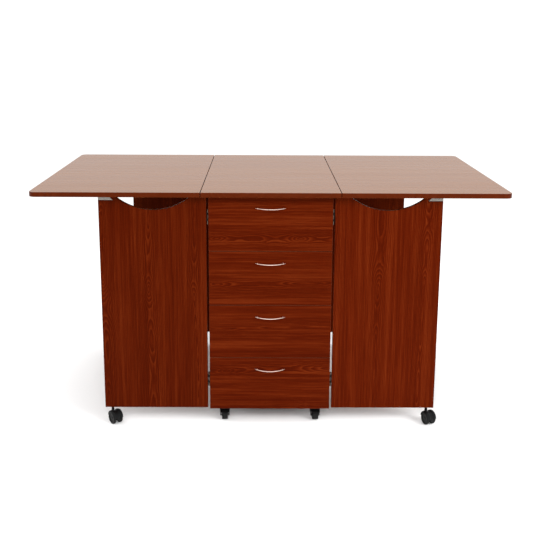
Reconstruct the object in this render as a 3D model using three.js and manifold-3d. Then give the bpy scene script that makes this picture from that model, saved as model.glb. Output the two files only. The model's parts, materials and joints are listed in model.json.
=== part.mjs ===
// Sewing and cutting table: a drawer cabinet with a fixed centre top, two drop leaves and four gate legs.
// Millimetres, +Z up. The origin is on the floor under the middle of the top, the drawers face -Y.

import * as THREE from 'three';
import { mergeVertices } from 'three/addons/utils/BufferGeometryUtils.js';
import Module from 'manifold-3d';

const wasm = await Module();
wasm.setup();

// Driving dimensions.
const WIDTH = 1756;
const DEPTH = 1016;
const HEIGHT = 914;
const BOARD = 18;
const GAP = 0.3;

// Tops and the seams between them.
const TOP_UNDER = HEIGHT - BOARD;
const SEAM_X = 256.5;
const SEAM_GAP = 2.4;
const CORNER_RADIUS = 25;

// Cabinet. FRONT_Y is the outer face of the drawer fronts.
// CARCASS_Y is the front edge of the boards behind them.
const OVERHANG = 46;
const FRONT_Y = OVERHANG - DEPTH / 2;
const CARCASS_Y = FRONT_Y + BOARD + GAP;
const CABINET_HALF = 230;
const CABINET_BASE = 59;
const INNER_HALF = CABINET_HALF - BOARD - GAP;
const DIVIDER_Y = 6;
const RAIL_DEPTH = 80;
const SHELF_Z = 478;

// Drawers, full overlay fronts on trays that run on side rails.
const DRAWER_PITCH = 209;
const DRAWER_COUNT = 4;
const FRONT_HEIGHT = 207.8;
const TRAY_HALF = 199;
const TRAY_DEPTH = 430;
const TRAY_HEIGHT = 150;
const TRAY_LIFT = 30;
const TRAY_WALL = 12;
const TRAY_FLOOR = 6;

// Bow handles.
const HANDLE_DROP = 44.8;
const HANDLE_HALF = 58;
const HANDLE_REACH = 31;
const HANDLE_THICK = 6;

// Gate legs, each a panel that swings on a vertical pin beside the cabinet.
// They stand a little behind the drawer fronts.
const LEG_SETBACK = 6;
const LEG_FRONT_Y = FRONT_Y + LEG_SETBACK;
const PIN_X = 234;
const PIN_Y = LEG_FRONT_Y + BOARD;
const LEG_INNER = 238;
const LEG_OUTER = 635.2;
const LEG_BASE = 61.4;
const LEG_TOP = 888.5;
const ARCH_X = 435.3;
const ARCH_RADIUS = 216.4;
const ARCH_LOW = 839.8;

// Catch block in a notch at the outer top corner of each leg.
const BLOCK_LENGTH = 43;
const BLOCK_LOW = 876.4;
const BLOCK_TOP = 894.5;
const BLOCK_RAMP = 12;

// Butt hinges of the legs and of the leaves.
const HINGE_PLATE = 1.5;
const LEG_HINGE_Z = { upper: 812, lower: 172.5 };
const LEG_HINGE_LENGTH = 57;
const LEG_HINGE_KNUCKLE = 3.5;
const LEG_HINGE_REACH = 24;
const LEAF_HINGE_Y = { front: -300, middle: 0, rear: 300 };
const LEAF_HINGE_LENGTH = 60;
const LEAF_HINGE_KNUCKLE = 3;
const LEAF_HINGE_REACH = 25;
const LEAF_PIN_Z = TOP_UNDER - GAP - LEAF_HINGE_KNUCKLE - 0.2;

// Twin wheel casters with a stem, under the legs.
const TWIN_RADIUS = 25;
const TWIN_INNER = 8.5;
const TWIN_OUTER = 19.5;
const TWIN_TRAIL = 20;
const AXLE_RADIUS = 3;
const BORE_RADIUS = 3.6;
const HOOD_RADIUS = 29.5;
const HOOD_WALL = 3;
const WEB_HALF = 7;
const BOSS_RADIUS = 5.5;
const BOSS_LOW = 34;
const BOSS_HIGH = 57;
const STEM_RADIUS = 4;
const LEG_CASTER_X = 608;
const LEG_CASTER_Y = LEG_FRONT_Y + BOARD / 2;

// Single wheel casters with a fork, under the cabinet.
const FORK_RADIUS = 19;
const FORK_TRAIL = 16;
const FORK_WHEEL_HALF = 11;
const FORK_INNER = 14;
const FORK_OUTER = 20;
const GUARD_INNER = 20.5;
const GUARD_OUTER = 23;
const GUARD_SPAN = [40, 140];
const HUB_RADIUS = 6;
const ARM_END_RADIUS = 5.5;
const ARM_X = [-10, 19];
const CROWN_RADIUS = 20.5;
const CROWN_Z = [41, 55];
const BRIDGE_THICK = 4;
const KINGPIN_RADIUS = 8;
const CABINET_CASTER_X = 176;
const CABINET_CASTER_Y = FRONT_Y + 54;

const table = new THREE.Group();

const finishes = {
  topWood: new THREE.MeshStandardMaterial({ color: 0x9a5a38, roughness: 0.3, metalness: 0 }),
  frontWood: new THREE.MeshStandardMaterial({ color: 0x6b2a12, roughness: 0.4, metalness: 0 }),
  legWood: new THREE.MeshStandardMaterial({ color: 0x6e2b12, roughness: 0.4, metalness: 0 }),
  carcassWood: new THREE.MeshStandardMaterial({ color: 0x5e2410, roughness: 0.45, metalness: 0 }),
  trayWood: new THREE.MeshStandardMaterial({ color: 0xc9a77c, roughness: 0.6, metalness: 0 }),
  nickel: new THREE.MeshStandardMaterial({ color: 0xd9cfc8, roughness: 0.3, metalness: 1 }),
  hingeMetal: new THREE.MeshStandardMaterial({ color: 0x8c7466, roughness: 0.4, metalness: 1 }),
  catchPlastic: new THREE.MeshStandardMaterial({ color: 0xb9b6b4, roughness: 0.45, metalness: 0 }),
  blackPlastic: new THREE.MeshStandardMaterial({ color: 0x161616, roughness: 0.45, metalness: 0 }),
  wheelPlastic: new THREE.MeshStandardMaterial({ color: 0x1e1e1e, roughness: 0.5, metalness: 0 }),
};

function addPiece(name, geometry, material, parent = table) {
  const mesh = new THREE.Mesh(geometry, material);
  mesh.name = name;
  parent.add(mesh);
  return mesh;
}

// A closed mesh as a solid for joining and cutting, and back again.
function solidOf(geometry) {
  const bare = geometry.clone();
  bare.deleteAttribute('normal');
  bare.deleteAttribute('uv');
  const merged = mergeVertices(bare, 1e-4);
  return new wasm.Manifold(new wasm.Mesh({
    numProp: 3,
    vertProperties: new Float32Array(merged.attributes.position.array),
    triVerts: new Uint32Array(merged.index.array),
  }));
}

function geometryOf(solid) {
  const mesh = solid.getMesh();
  const geometry = new THREE.BufferGeometry();
  geometry.setAttribute('position', new THREE.BufferAttribute(mesh.vertProperties, 3));
  geometry.setIndex(new THREE.BufferAttribute(mesh.triVerts, 1));
  geometry.computeVertexNormals();
  return geometry;
}

function join(...geometries) {
  return geometryOf(geometries.map(solidOf).reduce((whole, next) => whole.add(next)));
}

function cut(geometry, ...tools) {
  return geometryOf(tools.map(solidOf).reduce((whole, tool) => whole.subtract(tool), solidOf(geometry)));
}

// A block given by its lowest and highest corner.
function block(low, high) {
  const size = high.map((value, i) => value - low[i]);
  const middle = high.map((value, i) => (value + low[i]) / 2);
  return new THREE.BoxGeometry(...size).translate(...middle);
}

// A round bar along Y or Z, centred on a point.
function bar(axis, radius, length, centre, sides = 16) {
  const geometry = new THREE.CylinderGeometry(radius, radius, length, sides);
  if (axis === 'z') geometry.rotateX(Math.PI / 2);
  return geometry.translate(...centre);
}

// An outline in X and Z, pushed along Y from y0 to y1.
function slab(points, y0, y1) {
  const shape = new THREE.Shape(points.map(([x, z]) => new THREE.Vector2(x, z)));
  const geometry = new THREE.ExtrudeGeometry(shape, { depth: y1 - y0, bevelEnabled: false });
  return geometry.rotateX(Math.PI / 2).translate(0, y1, 0);
}

// Points along an arc about (x, z), from one angle to another in degrees.
function arc(x, z, radius, from, to, steps) {
  return Array.from({ length: steps + 1 }, (_, i) => {
    const angle = THREE.MathUtils.degToRad(from + (to - from) * i / steps);
    return [x + radius * Math.cos(angle), z + radius * Math.sin(angle)];
  });
}

// Mirrors a geometry to another corner of the table and keeps its faces pointing out.
function toCorner(geometry, sideX, sideY) {
  const copy = geometry.index ? geometry.toNonIndexed() : geometry.clone();
  copy.scale(sideX, sideY, 1);
  if (sideX * sideY < 0) {
    const { array } = copy.attributes.position;
    for (let i = 0; i < array.length; i += 9) {
      const second = array.slice(i + 3, i + 6);
      array.copyWithin(i + 3, i + 6, i + 9);
      array.set(second, i + 6);
    }
  }
  copy.computeVertexNormals();
  return copy;
}

const corners = [
  { name: 'front_left', x: -1, y: 1 },
  { name: 'front_right', x: 1, y: 1 },
  { name: 'rear_left', x: -1, y: -1 },
  { name: 'rear_right', x: 1, y: -1 },
];

function addTops() {
  const half = SEAM_X - SEAM_GAP / 2;
  const edge = DEPTH / 2;
  addPiece('centre_top', block([-half, -edge, TOP_UNDER], [half, edge, HEIGHT]), finishes.topWood);

  const inner = SEAM_X + SEAM_GAP / 2;
  const roundX = WIDTH / 2 - CORNER_RADIUS;
  const roundY = edge - CORNER_RADIUS;
  const outline = [
    [inner, -edge],
    ...arc(roundX, -roundY, CORNER_RADIUS, -90, 0, 8),
    ...arc(roundX, roundY, CORNER_RADIUS, 0, 90, 8),
    [inner, edge],
  ];
  const shape = new THREE.Shape(outline.map(([x, y]) => new THREE.Vector2(x, y)));
  const leaf = new THREE.ExtrudeGeometry(shape, { depth: BOARD, bevelEnabled: false });
  leaf.translate(0, 0, TOP_UNDER);
  addPiece('left_leaf', toCorner(leaf, -1, 1), finishes.topWood);
  addPiece('right_leaf', leaf, finishes.topWood);
}

function addCabinet() {
  const top = TOP_UNDER - GAP;
  const floorTop = CABINET_BASE + BOARD;
  const railLow = top - BOARD;
  for (const [name, side] of [['left', -1], ['right', 1]]) {
    const xs = [side * (CABINET_HALF - BOARD), side * CABINET_HALF].sort((a, b) => a - b);
    const board = block([xs[0], CARCASS_Y, CABINET_BASE], [xs[1], -CARCASS_Y, top]);
    addPiece(`cabinet_${name}_side`, board, finishes.carcassWood);
  }
  const inside = (name, y0, y1, z0, z1) => {
    addPiece(name, block([-INNER_HALF, y0, z0], [INNER_HALF, y1, z1]), finishes.carcassWood);
  };
  inside('cabinet_bottom', CARCASS_Y, -CARCASS_Y, CABINET_BASE, floorTop);
  inside('cabinet_divider', DIVIDER_Y, DIVIDER_Y + BOARD, floorTop + GAP, top);
  inside('front_top_rail', CARCASS_Y, CARCASS_Y + RAIL_DEPTH, railLow, top);
  inside('rear_top_rail', -CARCASS_Y - RAIL_DEPTH, -CARCASS_Y, railLow, top);
  inside('rear_shelf', DIVIDER_Y + BOARD + GAP, -CARCASS_Y - BOARD / 2, SHELF_Z, SHELF_Z + BOARD);
}

// The handle is one even bow: its ends meet the drawer front, its middle stands out towards -Y.
function bowHandle() {
  const foot = FRONT_Y - GAP - HANDLE_THICK / 2;
  const rise = HANDLE_REACH - HANDLE_THICK;
  const points = Array.from({ length: 13 }, (_, i) => {
    const along = -1 + i / 6;
    const x = along * (HANDLE_HALF - HANDLE_THICK / 2);
    return new THREE.Vector3(x, foot - rise * (1 - along ** 2), 0);
  });
  const section = new THREE.Shape();
  section.absellipse(0, 0, HANDLE_THICK / 2, HANDLE_THICK / 2, 0, Math.PI * 2);
  return new THREE.ExtrudeGeometry(section, {
    curveSegments: 4,
    steps: 20,
    bevelEnabled: false,
    extrudePath: new THREE.CatmullRomCurve3(points),
  });
}

function addDrawers() {
  for (let n = 1; n <= DRAWER_COUNT; n += 1) {
    const low = CABINET_BASE + DRAWER_PITCH * (DRAWER_COUNT - n);
    const high = low + FRONT_HEIGHT;
    const frontBoard = block([-CABINET_HALF, FRONT_Y, low], [CABINET_HALF, FRONT_Y + BOARD, high]);
    addPiece(`drawer_${n}_front`, frontBoard, finishes.frontWood);

    const trayLow = low + TRAY_LIFT;
    const back = CARCASS_Y + TRAY_DEPTH;
    const outer = block([-TRAY_HALF, CARCASS_Y, trayLow], [TRAY_HALF, back, trayLow + TRAY_HEIGHT]);
    const hollow = block(
      [TRAY_WALL - TRAY_HALF, CARCASS_Y + TRAY_WALL, trayLow + TRAY_FLOOR],
      [TRAY_HALF - TRAY_WALL, back - TRAY_WALL, trayLow + TRAY_HEIGHT + BOARD],
    );
    addPiece(`drawer_${n}_box`, cut(outer, hollow), finishes.trayWood);

    const handle = addPiece(`drawer_${n}_handle`, bowHandle(), finishes.nickel);
    handle.position.z = high - HANDLE_DROP;
  }
}

// A leg panel: arched top edge, notch for the catch block at the outer top corner.
function legPanel() {
  const centreZ = ARCH_LOW + ARCH_RADIUS;
  const reach = THREE.MathUtils.radToDeg(Math.acos((centreZ - LEG_TOP) / ARCH_RADIUS));
  const notchX = LEG_OUTER - BLOCK_LENGTH - GAP;
  return slab([
    [LEG_INNER, LEG_BASE],
    [LEG_OUTER, LEG_BASE],
    [LEG_OUTER, BLOCK_LOW - GAP],
    [notchX - BLOCK_RAMP, BLOCK_LOW - GAP],
    [notchX, LEG_TOP],
    ...arc(ARCH_X, centreZ, ARCH_RADIUS, reach - 90, -reach - 90, 14),
    [LEG_INNER, LEG_TOP],
  ], LEG_FRONT_Y, LEG_FRONT_Y + BOARD);
}

function catchBlock() {
  const inner = LEG_OUTER - BLOCK_LENGTH;
  const slope = BLOCK_RAMP / (LEG_TOP - BLOCK_LOW);
  return slab([
    [inner - BLOCK_RAMP + GAP * 2, BLOCK_LOW],
    [LEG_OUTER, BLOCK_LOW],
    [LEG_OUTER, BLOCK_TOP],
    [inner + GAP + slope * (BLOCK_TOP - LEG_TOP), BLOCK_TOP],
    [inner + GAP, LEG_TOP],
  ], LEG_FRONT_Y, LEG_FRONT_Y + BOARD);
}

// The fixed half of a hinge: plate, every other knuckle, and the pin.
function fixedHinge(axis, pin, length, radius, plate) {
  const along = axis === 'z' ? 2 : 1;
  const knuckle = length / 5 - GAP;
  const pieces = [-2, 0, 2].map((slot) => {
    const centre = [...pin];
    centre[along] += slot * length / 5;
    return bar(axis, radius, knuckle, centre, 8);
  });
  return join(plate, bar(axis, radius / 2, length, pin, 8), ...pieces);
}

function legHinge(z) {
  const low = [CABINET_HALF + GAP, PIN_Y - LEG_HINGE_KNUCKLE, z - LEG_HINGE_LENGTH / 2];
  const high = [low[0] + HINGE_PLATE, PIN_Y + LEG_HINGE_REACH, z + LEG_HINGE_LENGTH / 2];
  return fixedHinge('z', [PIN_X, PIN_Y, z], LEG_HINGE_LENGTH, LEG_HINGE_KNUCKLE, cut(
    block(low, high),
    ...[-1, 1].map((slot) => {
      const middle = z + slot * LEG_HINGE_LENGTH / 5;
      const half = LEG_HINGE_LENGTH / 10 + GAP;
      return block(
        [low[0] - 1, low[1] - 1, middle - half],
        [high[0] + 1, PIN_Y + LEG_HINGE_KNUCKLE + 1, middle + half],
      );
    }),
  ));
}

function leafHinge(y) {
  const high = [SEAM_X, y + LEAF_HINGE_LENGTH / 2, TOP_UNDER - GAP];
  const low = [SEAM_X - LEAF_HINGE_REACH, y - LEAF_HINGE_LENGTH / 2, high[2] - HINGE_PLATE];
  return fixedHinge('y', [SEAM_X, y, LEAF_PIN_Z], LEAF_HINGE_LENGTH, LEAF_HINGE_KNUCKLE, cut(
    block(low, high),
    ...[-1, 1].map((slot) => {
      const middle = y + slot * LEAF_HINGE_LENGTH / 5;
      const half = LEAF_HINGE_LENGTH / 10 + GAP;
      return block(
        [SEAM_X - LEAF_HINGE_KNUCKLE - 1, middle - half, low[2] - 1],
        [SEAM_X + 1, middle + half, high[2] + 1],
      );
    }),
  ));
}

function addLegs() {
  const panel = legPanel();
  const rampBlock = catchBlock();
  for (const corner of corners) {
    const place = (geometry) => toCorner(geometry, corner.x, corner.y);
    addPiece(`${corner.name}_leg`, place(panel), finishes.legWood);
    addPiece(`${corner.name}_catch_block`, place(rampBlock), finishes.catchPlastic);
    for (const [level, z] of Object.entries(LEG_HINGE_Z)) {
      addPiece(`${corner.name}_${level}_hinge`, place(legHinge(z)), finishes.hingeMetal);
    }
  }
}

function addLeafHinges() {
  for (const [side, sign] of [['left', -1], ['right', 1]]) {
    for (const [where, y] of Object.entries(LEAF_HINGE_Y)) {
      addPiece(`${side}_leaf_hinge_${where}`, toCorner(leafHinge(y), sign, 1), finishes.hingeMetal);
    }
  }
}

// Hood of a twin wheel caster: mudguard, web between the wheels, boss and stem on the swivel axis.
function twinHood() {
  const inner = HOOD_RADIUS - HOOD_WALL;
  const top = LEG_BASE - GAP;
  const guard = slab([
    ...arc(TWIN_TRAIL, TWIN_RADIUS, HOOD_RADIUS, 10, 170, 12),
    ...arc(TWIN_TRAIL, TWIN_RADIUS, inner, 170, 10, 12),
  ], -TWIN_OUTER, TWIN_OUTER);
  const web = slab(arc(TWIN_TRAIL, TWIN_RADIUS, HOOD_RADIUS - 1, -12, 192, 14), -WEB_HALF, WEB_HALF);
  const boss = bar('z', BOSS_RADIUS, BOSS_HIGH - BOSS_LOW, [0, 0, (BOSS_HIGH + BOSS_LOW) / 2]);
  const stem = bar('z', STEM_RADIUS, top - BOSS_LOW, [0, 0, (top + BOSS_LOW) / 2]);
  const body = cut(join(guard, web), bar('y', BORE_RADIUS, 40, [TWIN_TRAIL, 0, TWIN_RADIUS]));
  return join(body, boss, stem);
}

// Both wheels of a twin wheel caster on their axle, turned about the axle's line.
function twinWheels() {
  const side = [
    [TWIN_RADIUS, TWIN_OUTER],
    [TWIN_RADIUS, TWIN_INNER],
    [AXLE_RADIUS, TWIN_INNER],
  ];
  const lower = side.map(([r, y]) => [r, -y]);
  const profile = [[0, -TWIN_OUTER], ...lower, ...side.reverse(), [0, TWIN_OUTER]];
  return new THREE.LatheGeometry(profile.map(([r, y]) => new THREE.Vector2(r, y)), 24);
}

// Fork of a single wheel caster: crown on the swivel axis, guard over the wheel, two arms, and the axle.
function fork() {
  const [crownLow, crownHigh] = CROWN_Z;
  const top = CABINET_BASE - GAP;
  const crown = bar('z', CROWN_RADIUS, crownHigh - crownLow, [0, 0, (crownLow + crownHigh) / 2]);
  const kingpin = bar('z', KINGPIN_RADIUS, top - crownLow, [0, 0, (top + crownLow) / 2]);
  const bridge = block([ARM_X[0], -FORK_OUTER, crownLow], [ARM_X[1], FORK_OUTER, crownLow + BRIDGE_THICK]);
  const arms = [-1, 1].map((side) => {
    const ys = [side * FORK_INNER, side * FORK_OUTER].sort((a, b) => a - b);
    return slab([
      [ARM_X[0], crownLow + BRIDGE_THICK],
      ...arc(FORK_TRAIL, FORK_RADIUS, ARM_END_RADIUS, 200, 370, 8),
      [ARM_X[1], crownLow + BRIDGE_THICK],
    ], ys[0], ys[1]);
  });
  const [guardFrom, guardTo] = GUARD_SPAN;
  const guard = slab([
    ...arc(FORK_TRAIL, FORK_RADIUS, GUARD_OUTER, guardFrom, guardTo, 8),
    ...arc(FORK_TRAIL, FORK_RADIUS, GUARD_INNER, guardTo, guardFrom, 8),
  ], 1 - FORK_OUTER, FORK_OUTER - 1);
  const axle = bar('y', AXLE_RADIUS, FORK_OUTER * 2, [FORK_TRAIL, 0, FORK_RADIUS]);
  return join(crown, kingpin, bridge, guard, ...arms, axle);
}

function forkWheel() {
  const hub = FORK_INNER - 1;
  const profile = [
    [BORE_RADIUS, -hub],
    [HUB_RADIUS, -hub],
    [HUB_RADIUS, -FORK_WHEEL_HALF],
    [FORK_RADIUS, -FORK_WHEEL_HALF],
    [FORK_RADIUS, FORK_WHEEL_HALF],
    [HUB_RADIUS, FORK_WHEEL_HALF],
    [HUB_RADIUS, hub],
    [BORE_RADIUS, hub],
    [BORE_RADIUS, -hub],
  ];
  return new THREE.LatheGeometry(profile.map(([r, y]) => new THREE.Vector2(r, y)), 24);
}

// A caster stands on its swivel axis and is turned so that its wheel trails along heading, in degrees.
function addCaster(name, x, y, heading, frame, wheel, wheelName, trail, wheelRadius) {
  const caster = new THREE.Group();
  caster.position.set(x, y, 0);
  caster.rotation.z = THREE.MathUtils.degToRad(heading);
  addPiece(`${name}_fork`, frame, finishes.blackPlastic, caster);
  const rolling = addPiece(`${name}_${wheelName}`, wheel, finishes.wheelPlastic, caster);
  rolling.position.set(trail, 0, wheelRadius);
  table.add(caster);
}

function addCasters() {
  const legHeading = { front_left: -53, front_right: -68, rear_left: -65, rear_right: -50 };
  const cabinetHeading = { front_left: -86, front_right: -83, rear_left: -80, rear_right: -70 };
  for (const { name, x, y } of corners) {
    addCaster(
      `${name}_caster`, x * LEG_CASTER_X, y * LEG_CASTER_Y, legHeading[name],
      twinHood(), twinWheels(), 'wheels', TWIN_TRAIL, TWIN_RADIUS,
    );
    addCaster(
      `cabinet_${name}_caster`, x * CABINET_CASTER_X, y * CABINET_CASTER_Y, cabinetHeading[name],
      fork(), forkWheel(), 'wheel', FORK_TRAIL, FORK_RADIUS,
    );
  }
}

addTops();
addCabinet();
addDrawers();
addLegs();
addLeafHinges();
addCasters();

export default table;
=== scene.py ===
"""Looks of a drop-leaf sewing table: cherry laminate boards, bow handles, butt hinges and black casters.

Lengths are in metres, in the frame's own axes: +Z up, the drawers face -Y.
"""

import json
import math

import bmesh
import bpy
from mathutils import Matrix, Vector


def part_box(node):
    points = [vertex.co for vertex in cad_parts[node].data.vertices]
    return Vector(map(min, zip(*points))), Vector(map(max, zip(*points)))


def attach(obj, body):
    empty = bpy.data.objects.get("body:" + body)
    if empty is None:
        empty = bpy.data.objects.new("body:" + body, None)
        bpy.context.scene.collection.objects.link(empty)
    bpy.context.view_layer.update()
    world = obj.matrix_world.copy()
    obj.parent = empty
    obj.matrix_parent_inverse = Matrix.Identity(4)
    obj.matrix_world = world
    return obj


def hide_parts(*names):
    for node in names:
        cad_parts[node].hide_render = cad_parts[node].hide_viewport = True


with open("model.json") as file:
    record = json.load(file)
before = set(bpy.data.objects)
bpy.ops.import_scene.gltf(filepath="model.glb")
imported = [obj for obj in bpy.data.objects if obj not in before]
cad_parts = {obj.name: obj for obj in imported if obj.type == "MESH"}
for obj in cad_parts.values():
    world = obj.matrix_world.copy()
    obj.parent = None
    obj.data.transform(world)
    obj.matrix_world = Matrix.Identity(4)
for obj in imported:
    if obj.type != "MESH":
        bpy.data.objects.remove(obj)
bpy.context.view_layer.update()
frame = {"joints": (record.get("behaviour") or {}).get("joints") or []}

MM = 0.001

# ---------------------------------------------------------------- sizes that the frame gives
TOP_LOW, TOP_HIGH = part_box("centre_top")
RIGHT_LEAF_LOW, RIGHT_LEAF_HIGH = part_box("right_leaf")
RIGHT_SIDE_LOW, RIGHT_SIDE_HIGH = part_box("cabinet_right_side")
LEG_LOW, LEG_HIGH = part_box("front_right_leg")
BLOCK_LOW, BLOCK_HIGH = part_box("front_right_catch_block")

UNDER_Z = TOP_LOW.z
CABINET_HALF = RIGHT_SIDE_HIGH.x
CABINET_BASE = RIGHT_SIDE_LOW.z
DRAWERS = (1, 2, 3, 4)
CORNERS = {
    "front_left": (-1, 1),
    "front_right": (1, 1),
    "rear_left": (-1, -1),
    "rear_right": (1, -1),
}
JOINTS = {joint["name"]: joint for joint in frame["joints"]}


def pin_of(joint):
    """The place of a joint's axis in the frame."""
    return Vector(JOINTS[joint]["pos_m"])


# ---------------------------------------------------------------- sizes of the fine detail
TOP_ARRIS = 1.0 * MM
BOARD_ARRIS = 0.8 * MM
FRONT_ARRIS = 1.5 * MM
CORNER_RADIUS = 25 * MM
ARCH_RADIUS = 216.4 * MM
ARCH_CENTRE_X = 435.3 * MM
ARCH_LOWEST = 839.8 * MM
NOTCH_RAMP = 12 * MM
GAP = 0.3 * MM
HINGE_PLATE = 1.5 * MM
LEG_HINGE_LENGTH = 57 * MM
LEG_HINGE_RADIUS = 3.5 * MM
LEAF_HINGE_LENGTH = 60 * MM
LEAF_HINGE_RADIUS = 3 * MM
TRAY_WALL = 12 * MM
TWIN_TRAIL = 20 * MM
TWIN_RADIUS = 25 * MM
FORK_TRAIL = 16 * MM
FORK_RADIUS = 19 * MM
FORK_ARM_INNER = 16.4 * MM
FORK_ARM_OUTER = 19.8 * MM

UP = Vector((0, 0, 1))
ORIGIN = Vector((0, 0, 0))


# ---------------------------------------------------------------- materials
HEART_SPACING = 0.172
RING_WIDTH = 0.0052
CHERRY_TINT = (1.0, 0.28, 0.07)
WHITE = (1.0, 1.0, 1.0)


def new_material(name):
    """A new material with its nodes and links."""
    material = bpy.data.materials.new(name)
    material.use_nodes = True
    return material, material.node_tree.nodes, material.node_tree.links


def node(nodes, kind, **settings):
    """A shader node. Each setting is a socket's value or, failing that, a property."""
    made = nodes.new(kind)
    for key, value in settings.items():
        if key in made.inputs:
            made.inputs[key].default_value = value
        else:
            setattr(made, key, value)
    return made


def math_node(nodes, links, operation, first, second=None):
    """One step of arithmetic in the shader, on numbers or sockets."""
    made = nodes.new("ShaderNodeMath")
    made.operation = operation
    for slot, value in ((0, first), (1, second)):
        if isinstance(value, bpy.types.NodeSocket):
            links.new(value, made.inputs[slot])
        elif value is not None:
            made.inputs[slot].default_value = value
    return made.outputs[0]


def ramp(nodes, links, factor, stops):
    """Colours along a factor. stops lists (place, colour)."""
    made = nodes.new("ShaderNodeValToRGB")
    while len(made.color_ramp.elements) < len(stops):
        made.color_ramp.elements.new(0.5)
    for element, (place, colour) in zip(made.color_ramp.elements, stops):
        element.position = place
        element.color = (*colour, 1)
    links.new(factor, made.inputs[0])
    return made.outputs[0]


def noise(nodes, links, vector, scale, detail=2.0, roughness=0.5):
    """Noise between 0 and 1."""
    made = node(nodes, "ShaderNodeTexNoise", Scale=scale, Detail=detail, Roughness=roughness)
    links.new(vector, made.inputs["Vector"])
    return made.outputs["Fac"]


def wood(name, tones, along, across, depth, rough=0.38, specular=0.10, tint=CHERRY_TINT, figure=1.0,
         heart_at=0.0):
    """Cherry laminate. along, across and depth name the axes of grain, width and thickness."""
    material, nodes, links = new_material(name)
    shader = nodes["Principled BSDF"]
    place = nodes.new("ShaderNodeTexCoord").outputs["Object"]
    split = nodes.new("ShaderNodeSeparateXYZ")
    links.new(place, split.inputs[0])
    axis = {key: split.outputs[key.upper()] for key in "xyz"}

    def calc(operation, first, second=None):
        return math_node(nodes, links, operation, first, second)

    def grain(run, width, thick, detail, shift=0.0):
        """Noise that changes run times a metre along the grain, width and thick times a metre across it."""
        made = nodes.new("ShaderNodeCombineXYZ")
        links.new(calc("MULTIPLY", calc("ADD", axis[along], shift), run), made.inputs[0])
        links.new(calc("MULTIPLY", axis[across], width), made.inputs[1])
        links.new(calc("MULTIPLY", axis[depth], thick), made.inputs[2])
        return noise(nodes, links, made.outputs[0], 1.0, detail, 0.6)

    def swing(source, size):
        """A noise value turned into a swing about zero."""
        return calc("MULTIPLY", calc("SUBTRACT", source, 0.5), size)

    # Growth rings: a flat cut close to the heart leaves narrow arches, with straight lines between hearts.
    wander = swing(grain(1.4, 0.7, 2.1, 1.0), 0.05)
    ragged = swing(grain(22.0, 70.0, 70.0, 2.0, 0.7), 0.005)
    sideways = calc("SUBTRACT", axis[across], heart_at)
    heart = calc("PINGPONG", calc("ADD", sideways, calc("ADD", wander, ragged)), HEART_SPACING / 2)
    cut = calc("ADD", swing(grain(3.2, 1.5, 3.1, 1.0, 3.7), 0.13), ragged)
    radius = calc("SQRT", calc("ADD", calc("MULTIPLY", heart, heart), calc("MULTIPLY", cut, cut)))
    rings = calc("FRACT", calc("DIVIDE", radius, RING_WIDTH))
    rise = calc("SMOOTH_MIN", calc("MULTIPLY", rings, 6.0), 1.0)
    soft = calc("MULTIPLY", calc("SUBTRACT", 1.0, rings), rise)
    fading = calc("SUBTRACT", 1.0, calc("MULTIPLY", heart, 0.7 * 2 / HEART_SPACING))
    figured = calc("MULTIPLY", swing(soft, 0.75 * figure), fading)

    # Fibres and streaks run the length of the board.
    streaks = grain(1.5, 110.0, 110.0, 3.0)
    bands = grain(0.9, 26.0, 26.0, 2.0, 5.1)
    fibres = grain(8.0, 620.0, 620.0, 3.0)
    pores = grain(40.0, 1500.0, 1500.0, 1.0)
    tone = calc("ADD", figured, 0.5)
    for part, share in ((streaks, 1.0), (bands, 0.8), (fibres, 1.3)):
        tone = calc("ADD", tone, swing(part, share * figure))
    colour = ramp(nodes, links, tone, list(zip((0.22, 0.50, 0.80), tones)))
    pitted = ramp(nodes, links, pores, [(0.30, (0.62, 0.55, 0.55)), (0.42, (1, 1, 1))])
    mix = node(nodes, "ShaderNodeMix", data_type="RGBA", blend_type="MULTIPLY")
    mix.inputs[0].default_value = 0.4
    links.new(colour, mix.inputs[6])
    links.new(pitted, mix.inputs[7])
    links.new(mix.outputs[2], shader.inputs["Base Color"])

    links.new(calc("ADD", swing(streaks, 0.16), rough), shader.inputs["Roughness"])
    bump = node(nodes, "ShaderNodeBump", Strength=0.2, Distance=0.0001)
    links.new(calc("ADD", fibres, calc("MULTIPLY", pores, 0.6)), bump.inputs["Height"])
    links.new(bump.outputs[0], shader.inputs["Normal"])
    shader.inputs["Specular IOR Level"].default_value = specular
    shader.inputs["Specular Tint"].default_value = (*tint, 1)
    return material


def plain(name, colour, rough, metal=0.0, specular=0.5, grain=(900.0, 900.0, 900.0), bump=0.0001):
    """A moulded or plated finish: one colour that varies a little, with a fine surface texture."""
    material, nodes, links = new_material(name)
    shader = nodes["Principled BSDF"]
    place = nodes.new("ShaderNodeTexCoord").outputs["Object"]
    mapping = node(nodes, "ShaderNodeMapping", Scale=grain)
    links.new(place, mapping.inputs["Vector"])
    fine = noise(nodes, links, mapping.outputs[0], 1.0, 3.0, 0.6)
    broad = noise(nodes, links, place, 35.0, 2.0)
    both = math_node(nodes, links, "MULTIPLY", math_node(nodes, links, "ADD", fine, broad), 0.5)
    speck = 0.12
    darker = tuple(c * (1 - speck) for c in colour)
    lighter = tuple(min(1.0, c * (1 + speck)) for c in colour)
    links.new(ramp(nodes, links, both, [(0.35, darker), (0.65, lighter)]), shader.inputs["Base Color"])
    spread = math_node(nodes, links, "MULTIPLY_ADD", fine, 0.14)
    spread.node.inputs[2].default_value = max(0.02, rough - 0.07)
    links.new(spread, shader.inputs["Roughness"])
    height = node(nodes, "ShaderNodeBump", Strength=0.3, Distance=bump)
    links.new(fine, height.inputs["Height"])
    links.new(height.outputs[0], shader.inputs["Normal"])
    shader.inputs["Metallic"].default_value = metal
    shader.inputs["Specular IOR Level"].default_value = specular
    return material


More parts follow.
